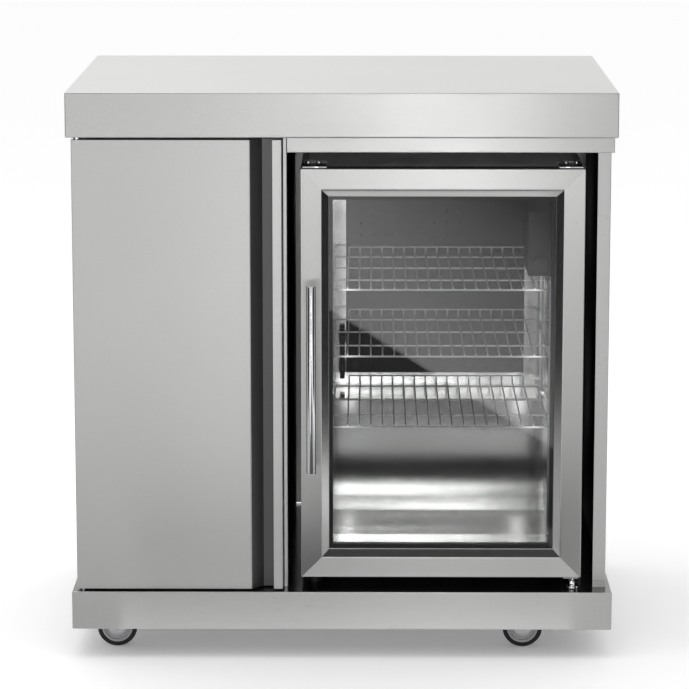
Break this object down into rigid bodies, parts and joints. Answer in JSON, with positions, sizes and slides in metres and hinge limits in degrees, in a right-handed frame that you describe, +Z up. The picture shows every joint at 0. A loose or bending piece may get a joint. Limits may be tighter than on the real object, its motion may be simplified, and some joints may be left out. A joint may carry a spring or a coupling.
{
  "type": "outdoor kitchen refrigerator cabinet",
  "caption": "Stainless steel outdoor kitchen cabinet on swivel casters, with a storage cupboard beside a glass-door refrigerator under a thick countertop.",
  "frame": {"origin": "middle of the whole assembly's footprint, on the floor under the casters", "axes": "+X to the right seen from the front, +Y from the doors towards the rear, +Z up"},
  "size_m": [0.832, 0.6352, 0.877],
  "materials": {
    "brushed_steel": "satin",
    "galvanised_steel": "satin",
    "chrome": "polished",
    "black_paint": "satin",
    "liner_steel": "gloss",
    "grey_paint": "satin",
    "foam": "matte",
    "bare_aluminium": "satin",
    "black_plastic": "matte",
    "grey_plastic": "satin",
    "white_plastic": "matte",
    "seal_rubber": "matte",
    "clear_glass": "polished",
    "zinc_plate": "satin",
    "tyre_rubber": "matte"
  },
  "bodies": {
    "root": {"countertop": "brushed_steel", "header_rail": "brushed_steel", "left_side_panel": "brushed_steel", "right_side_panel": "brushed_steel", "divider_panel": "brushed_steel", "rear_panels": "brushed_steel", "base_tray": "brushed_steel", "storage_shelf": "brushed_steel", "top_stiffeners": "galvanised_steel", "caster_beams": "galvanised_steel", "machine_base": "galvanised_steel", "shelf_tracks": "galvanised_steel", "lower_hinge_plate": "galvanised_steel", "panel_screws": "chrome", "door_pivots": "chrome", "top_hinge_plates": "chrome", "fridge_casing": "black_paint", "rear_grille": "black_paint", "compressor": "black_paint", "fan_motors": "black_paint", "fridge_liner": "liner_steel", "evaporator_cover": "grey_paint", "fridge_insulation": "foam", "evaporator_coil": "bare_aluminium", "condenser_coil": "bare_aluminium", "control_box": "black_plastic", "magnet_catch": "black_plastic", "cover_plugs": "black_plastic", "thermostat_bulb": "black_plastic", "cable_grommet": "seal_rubber", "caster_plates": "zinc_plate"},
    "storage_door": {"storage_door_skin": "brushed_steel", "storage_door_liner": "brushed_steel", "pivot_bushes": "white_plastic"},
    "fridge_door": {"door_rails": "brushed_steel", "door_stiles": "brushed_steel", "door_inner_frame": "black_plastic", "outer_glass": "clear_glass", "inner_glass": "clear_glass", "glass_spacer": "black_plastic", "door_gasket": "seal_rubber", "door_handle": "chrome"},
    "upper_shelf": {"upper_shelf": "chrome"},
    "middle_shelf": {"middle_shelf": "chrome"},
    "lower_shelf": {"lower_shelf": "chrome"},
    "thermostat_knob": {"thermostat_knob": "grey_plastic"},
    "evaporator_fan": {"evaporator_fan": "black_plastic"},
    "condenser_fan": {"condenser_fan": "black_plastic"},
    "left_foot": {"left_foot": "black_plastic"},
    "right_foot": {"right_foot": "chrome"},
    "front_left_caster": {"front_left_fork": "zinc_plate"},
    "front_left_wheel": {"front_left_hub": "grey_plastic", "front_left_tyre": "tyre_rubber"},
    "front_right_caster": {"front_right_fork": "zinc_plate"},
    "front_right_wheel": {"front_right_hub": "grey_plastic", "front_right_tyre": "tyre_rubber"},
    "rear_left_caster": {"rear_left_fork": "zinc_plate"},
    "rear_left_wheel": {"rear_left_hub": "grey_plastic", "rear_left_tyre": "tyre_rubber"},
    "rear_right_caster": {"rear_right_fork": "zinc_plate"},
    "rear_right_wheel": {"rear_right_hub": "grey_plastic", "rear_right_tyre": "tyre_rubber"}
  },
  "joints": [
    {"name": "storage_door_hinge", "type": "hinge", "parent": "root", "child": "storage_door", "pos_m": [-0.4, -0.26238, 0.4575], "axis": [0, 0, -1], "range_deg": [0, 110]},
    {"name": "fridge_door_hinge", "type": "hinge", "parent": "root", "child": "fridge_door", "pos_m": [0.3555, -0.25638, 0.4445], "axis": [0, 0, 1], "range_deg": [0, 110]},
    {"name": "upper_shelf_slide", "type": "slide", "parent": "root", "child": "upper_shelf", "axis": [0, -1, 0], "range_m": [0, 0.02]},
    {"name": "middle_shelf_slide", "type": "slide", "parent": "root", "child": "middle_shelf", "axis": [0, -1, 0], "range_m": [0, 0.02]},
    {"name": "lower_shelf_slide", "type": "slide", "parent": "root", "child": "lower_shelf", "axis": [0, -1, 0], "range_m": [0, 0.02]},
    {"name": "thermostat_turn", "type": "hinge", "parent": "root", "child": "thermostat_knob", "pos_m": [0.3085, -0.11737, 0.59], "axis": [0, -1, 0], "range_deg": [-135, 135]},
    {"name": "evaporator_fan_spin", "type": "hinge", "parent": "root", "child": "evaporator_fan", "pos_m": [0.1075, 0.16362, 0.64], "axis": [0, 1, 0], "continuous": true},
    {"name": "condenser_fan_spin", "type": "hinge", "parent": "root", "child": "condenser_fan", "pos_m": [0.1695, 0.15263, 0.214], "axis": [1, 0, 0], "continuous": true},
    {"name": "left_foot_slide", "type": "slide", "parent": "root", "child": "left_foot", "axis": [0, 0, 1], "range_m": [0, 0.006]},
    {"name": "right_foot_slide", "type": "slide", "parent": "root", "child": "right_foot", "axis": [0, 0, 1], "range_m": [0, 0.005]},
    {"name": "front_left_swivel", "type": "hinge", "parent": "root", "child": "front_left_caster", "pos_m": [-0.317, -0.20237, 0.0715], "axis": [0, 0, 1], "continuous": true},
    {"name": "front_left_roll", "type": "hinge", "parent": "front_left_caster", "child": "front_left_wheel", "pos_m": [-0.352, -0.20237, 0.031], "axis": [0, 1, 0], "continuous": true},
    {"name": "front_right_swivel", "type": "hinge", "parent": "root", "child": "front_right_caster", "pos_m": [0.317, -0.20237, 0.0715], "axis": [0, 0, 1], "continuous": true},
    {"name": "front_right_roll", "type": "hinge", "parent": "front_right_caster", "child": "front_right_wheel", "pos_m": [0.282, -0.20237, 0.031], "axis": [0, 1, 0], "continuous": true},
    {"name": "rear_left_swivel", "type": "hinge", "parent": "root", "child": "rear_left_caster", "pos_m": [-0.317, 0.23763, 0.0715], "axis": [0, 0, 1], "continuous": true},
    {"name": "rear_left_roll", "type": "hinge", "parent": "rear_left_caster", "child": "rear_left_wheel", "pos_m": [-0.352, 0.23763, 0.031], "axis": [0, 1, 0], "continuous": true},
    {"name": "rear_right_swivel", "type": "hinge", "parent": "root", "child": "rear_right_caster", "pos_m": [0.317, 0.23763, 0.0715], "axis": [0, 0, 1], "continuous": true},
    {"name": "rear_right_roll", "type": "hinge", "parent": "rear_right_caster", "child": "rear_right_wheel", "pos_m": [0.282, 0.23763, 0.031], "axis": [0, 1, 0], "continuous": true}
  ]
}
